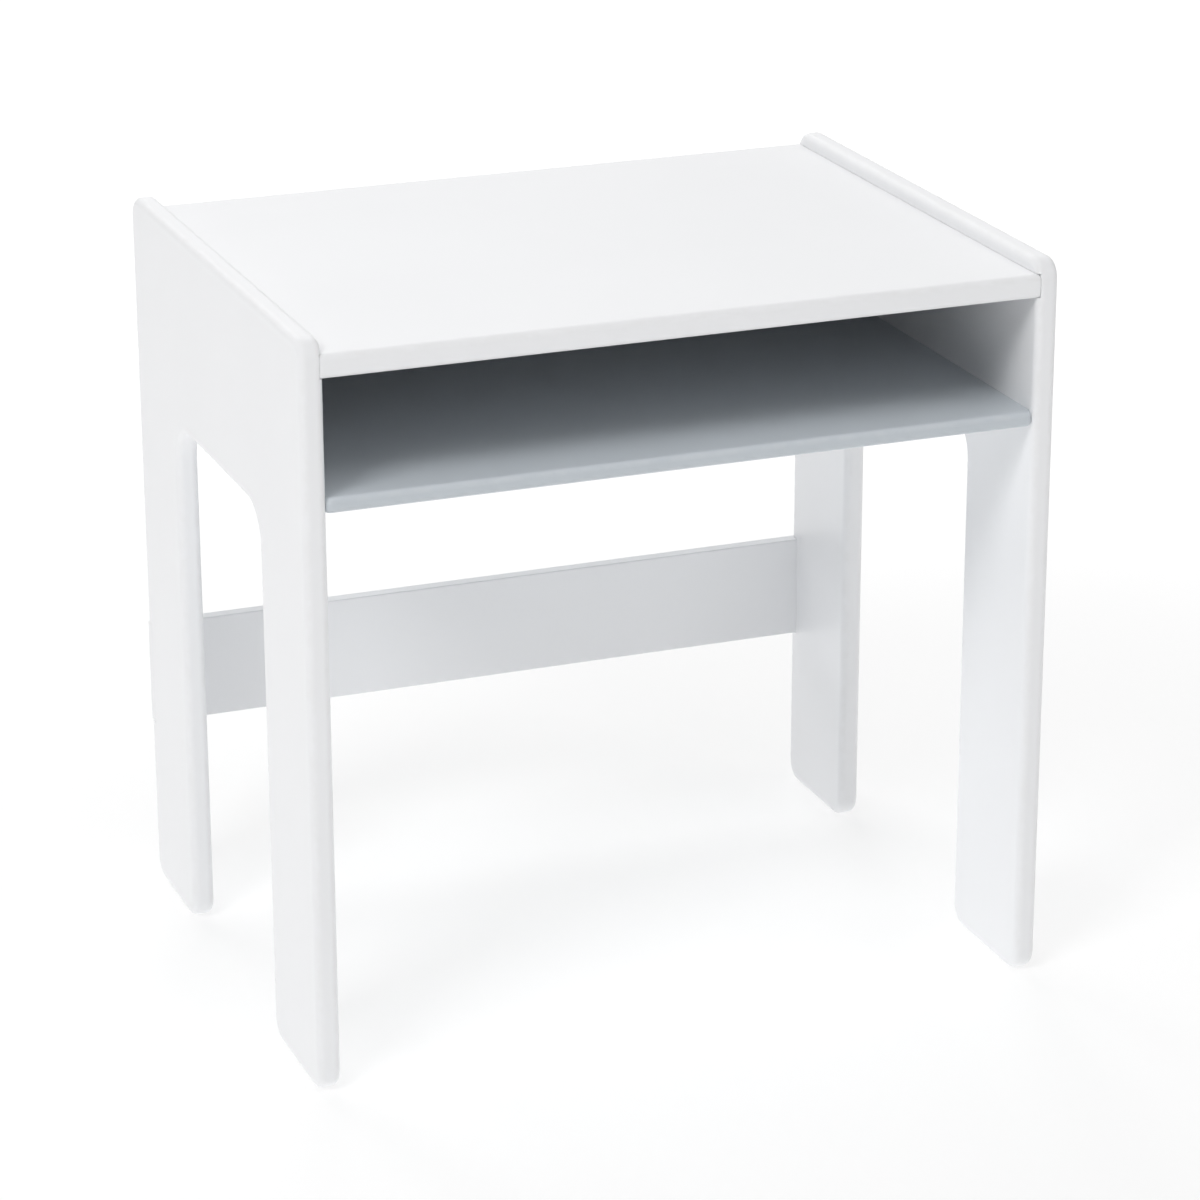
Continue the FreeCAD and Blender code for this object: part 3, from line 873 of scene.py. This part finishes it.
@dataclass
class StretcherScrews:
    """Countersunk screws, driven forward from the rear of the stretcher."""

    node: str = "stretcher_screws"
    segments: int = 36
    shank_diameter: float = 4.0 * MILLIMETRE
    thread_depth: float = 0.7 * MILLIMETRE
    thread_pitch: float = 1.9 * MILLIMETRE
    thread_share: float = 0.66
    point_share: float = 0.12
    tip_share: float = 1 / 12
    plain_shank_share: float = 0.8
    head_depth: float = 2.4 * MILLIMETRE
    head_rim: float = 0.25 * MILLIMETRE
    recess: CrossRecess = CrossRecess(4.6 * MILLIMETRE, 1.1 * MILLIMETRE, 1.9 * MILLIMETRE)

    def turned(self, length: float, head_radius: float) -> Turned:
        """Give the rings of one screw, from its point to its head.

        Args:
            length: the screw's length.
            head_radius: the radius of its head.

        Returns:
            The screw, with its point at 0.
        """
        screw = Turned(self.segments)
        crest = self.shank_diameter / 2
        core = crest - self.thread_depth
        point = length * self.point_share
        thread_end = length * self.thread_share
        shank = crest * self.plain_shank_share
        screw.ring(0, core * self.tip_share)
        screw.ring(point / 2, core / 2)
        screw.thread(point, thread_end, core, crest, self.thread_pitch)
        screw.ring(thread_end, shank)
        screw.ring(length - self.head_depth, shank)
        screw.ring(length - self.head_rim, head_radius)
        screw.ring(length, head_radius)
        return screw

    def build(self) -> None:
        """Build and dress the screws."""
        form = bmesh.new()
        blocks = solids_of(self.node)
        for block in blocks:
            start = Vector((block.centre.x, block.low.y, block.centre.z))
            placed = Matrix.Translation(start) @ Matrix.Rotation(math.pi / 2, 4, "Z")
            length = block.size.y
            rows = self.turned(length, block.size.x / 2).build(form, placed)
            self.recess.close(form, rows[-1], length, placed)
        piece = add_piece(f"{self.node}_threaded", form, self.node)
        dress(piece, ZINC_PLATE[Axis.Y].material())
        log.info("%s: %d threaded screws", piece.name, len(blocks))


@dataclass(frozen=True)
class Softbox:
    """A square lamp that looks at one point of the desk and that no mirror shows."""

    name: str
    place: tuple[float, float, float]
    side: float
    power: float
    aim: tuple[float, float, float] = (0.0, 0.0, 0.3)

    def build(self) -> None:
        """Hang the lamp."""
        lamp = bpy.data.lights.new(self.name, "AREA")
        lamp.shape = "SQUARE"
        lamp.size = self.side
        lamp.energy = self.power
        made = bpy.data.objects.new(self.name, lamp)
        bpy.context.scene.collection.objects.link(made)
        made.location = self.place
        toward = Vector(self.aim) - Vector(self.place)
        made.rotation_euler = toward.to_track_quat("-Z", "Y").to_euler()
        made.visible_glossy = False


@dataclass
class Studio:
    """A white room: a pale floor that glows as painted underlight on the desk, six soft lamps and
    a dim even surround.
    """

    floor_radius: float = 6.0
    floor_points: int = 96
    floor_colour: Colour = (0.92, 0.92, 0.92)
    floor_glow_share: float = 0.6
    floor_glow: float = 1.1
    underlight_share: float = 0.2
    underlight: float = 2.5
    clear_radius: float = 1.2
    surround: float = 0.1
    mirrored_surround: float = 0.8
    lamps: tuple[Softbox, ...] = (
        Softbox("key_lamp", (-2.320, -1.686, 2.793), 1.2, 49.0),
        Softbox("high_front_lamp", (-0.321, -1.512, 3.771), 2.4, 37.1),
        Softbox("left_rear_lamp", (-3.111, 1.257, 2.084), 2.4, 11.2),
        Softbox("rear_lamp", (0.000, 2.994, 2.640), 2.4, 73.5),
        Softbox("right_lamp", (2.593, -1.497, 2.640), 2.4, 24.5),
        Softbox("right_rear_lamp", (2.525, 0.919, 2.987), 2.4, 10.5),
    )

    @staticmethod
    def rays(tree: Tree) -> tuple[Shade, Shade]:
        """Tell the camera's rays from those that a mirror or glass sends on.

        Args:
            tree: the nodes that the two masks go into.

        Returns:
            The mask of the camera's rays, and that of the ones sent on.
        """
        path = tree.node("ShaderNodeLightPath")
        kinds = ("Is Camera Ray", "Is Glossy Ray", "Is Transmission Ray")
        camera, glossy, through = (Shade(tree, path.outputs[kind]) for kind in kinds)
        return camera, tree.math("MAXIMUM", glossy, through)

    def floor_material(self) -> bpy.types.Material:
        """Make a floor that looks white, takes the desk's soft shadow and glows as painted
        underlight.

        Its glow lights the desk from below in place of bounce light. The camera doesn't see it,
        which would drown the shadow.

        Returns:
            The material.
        """
        made = bpy.data.materials.new("pale_floor")
        tree = Tree(made)
        parts = tree.node("ShaderNodeSeparateXYZ", None, {"Vector": tree.place()})
        x, y = (Shade(tree, parts.outputs[axis.value]) for axis in (Axis.X, Axis.Y))
        distance = tree.math("SQRT", x * x + y * y)
        far = distance.above(self.clear_radius, self.clear_radius)
        camera, mirrored = self.rays(tree)
        seen = tree.math("MAXIMUM", camera, mirrored)
        mask = seen * (self.floor_glow_share + far * (1 - self.floor_glow_share))
        matt = tree.shade("ShaderNodeBsdfDiffuse", 0, None, {"Color": (*self.floor_colour, 1.0)})
        # painted underlight: the floor glows for every ray but the camera's, lighting the desk
        # from below like bounce light
        underlight_glow = tree.shade("ShaderNodeEmission", 0, None, {"Strength": self.underlight})
        share = (1 - camera) * self.underlight_share
        lit = tree.shade("ShaderNodeMixShader", 0, None, {0: share, 1: matt, 2: underlight_glow})
        glow = tree.shade("ShaderNodeEmission", 0, None, {"Strength": self.floor_glow})
        mixed = tree.shade("ShaderNodeMixShader", 0, None, {0: mask, 1: lit, 2: glow})
        tree.node("ShaderNodeOutputMaterial", None, {"Surface": mixed})
        return made

    def build_floor(self) -> None:
        """Lay a round floor under the desk."""
        form = bmesh.new()
        bmesh.ops.create_circle(
            form, cap_ends=True, radius=self.floor_radius, segments=self.floor_points
        )
        mesh = bpy.data.meshes.new("studio_floor")
        form.to_mesh(mesh)
        form.free()
        floor = bpy.data.objects.new("studio_floor", mesh)
        bpy.context.scene.collection.objects.link(floor)
        dress(floor, self.floor_material())

    def build_surround(self) -> None:
        """Surround the desk with dim even light that looks white to the eye and in metal."""
        world = bpy.data.worlds.new("white_surround")
        bpy.context.scene.world = world
        tree = Tree(world)
        camera, mirrored = self.rays(tree)
        strength = (
            self.surround
            + camera * (1 - self.surround)
            + mirrored * (self.mirrored_surround - self.surround)
        )
        white = {"Color": (1.0, 1.0, 1.0, 1.0), "Strength": strength}
        sky = tree.shade("ShaderNodeBackground", 0, None, white)
        tree.node("ShaderNodeOutputWorld", None, {"Surface": sky})

    def build(self) -> None:
        """Build the room and its light."""
        self.build_floor()
        self.build_surround()
        for lamp in self.lamps:
            lamp.build()
        log.info("studio: %d lamps", len(self.lamps))


@dataclass
class Viewpoint:
    """The camera, before the desk's left front corner and looking down on it, in metres.

    The turns are in radians, and the sensor and the lens in millimetres.
    """

    place: tuple[float, float, float] = (-1.1208, -2.9252, 1.4242)
    turn_right: float = 0.3702
    look_down: float = 0.3500
    lean: float = 0.0024
    sensor: float = 36.0
    lens: float = 124.84

    def build(self) -> None:
        """Set the camera up."""
        data = bpy.data.cameras.new("viewpoint")
        data.sensor_width = self.sensor
        data.lens = self.lens
        camera = bpy.data.objects.new("viewpoint", data)
        bpy.context.scene.collection.objects.link(camera)
        turned = Matrix.Rotation(-self.turn_right, 4, "Z")
        tilted = Matrix.Rotation(math.pi / 2 - self.look_down, 4, "X")
        leaned = Matrix.Rotation(-self.lean, 4, "Z")
        camera.matrix_world = Matrix.Translation(self.place) @ turned @ tilted @ leaned
        bpy.context.scene.camera = camera


def clear_stage() -> None:
    """Remove what a new file holds besides the frame."""
    kept = set(frame["nodes"].values()) | set(frame["bodies"].values())
    for thing in list(bpy.data.objects):
        if thing not in kept:
            bpy.data.objects.remove(thing)


def main() -> None:
    """Build the desk's looks, its studio and its camera."""
    logging.basicConfig(level=logging.INFO, format="%(message)s")
    clear_stage()
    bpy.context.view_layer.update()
    for assembly in (Boards(), Dowels(), CamBolts(), Cams(), StretcherScrews()):
        assembly.build()
    Studio().build()
    Viewpoint().build()
    bpy.context.scene.view_settings.view_transform = "Standard"
    bpy.context.view_layer.update()


if __name__ == "__main__":
    main()
